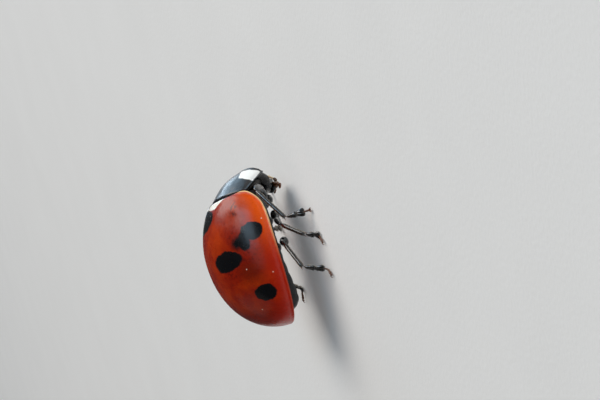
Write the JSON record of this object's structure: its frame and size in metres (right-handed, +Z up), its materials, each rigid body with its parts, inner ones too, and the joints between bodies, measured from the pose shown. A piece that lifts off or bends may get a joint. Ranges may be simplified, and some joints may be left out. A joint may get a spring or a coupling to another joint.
{
  "type": "seven-spot ladybird",
  "caption": "Life-size still model of a seven-spot ladybird: red domed wing cases with black spots, black pronotum with white corners, bowed head, on six feet.",
  "frame": {"origin": "on the floor, under the middle of the model's own box", "axes": "+X forward towards the head, +Y to the animal's left, +Z up from the floor"},
  "size_m": [0.0066, 0.0082, 0.0041],
  "materials": {
    "wing_case": "waxy orange-red shell with soft gloss and black spots",
    "black_shell": "polished black shell with cream-white corner marks",
    "leg": "satin black with fine pale hairs",
    "belly": "satin black, pitted, with fine hairs",
    "eye": "glossy black, finely faceted",
    "feeler": "satin yellow-brown"
  },
  "bodies": {
    "root": {"elytron_left": "wing_case", "elytron_right": "wing_case", "pronotum": "black_shell", "scutellum": "black_shell", "head": "black_shell", "mouthparts": "black_shell", "eye_left": "eye", "eye_right": "eye", "antenna_left": "feeler", "antenna_right": "feeler", "palp_left": "feeler", "palp_right": "feeler", "prothorax": "belly", "thorax": "belly", "abdomen": "belly", "coxa_front_left": "leg", "femur_front_left": "leg", "tibia_front_left": "leg", "tarsus_front_left": "leg", "coxa_middle_left": "leg", "femur_middle_left": "leg", "tibia_middle_left": "leg", "tarsus_middle_left": "leg", "coxa_hind_left": "leg", "femur_hind_left": "leg", "tibia_hind_left": "leg", "tarsus_hind_left": "leg", "coxa_front_right": "leg", "femur_front_right": "leg", "tibia_front_right": "leg", "tarsus_front_right": "leg", "coxa_middle_right": "leg", "femur_middle_right": "leg", "tibia_middle_right": "leg", "tarsus_middle_right": "leg", "coxa_hind_right": "leg", "femur_hind_right": "leg", "tibia_hind_right": "leg", "tarsus_hind_right": "leg"}
  },
  "joints": []
}
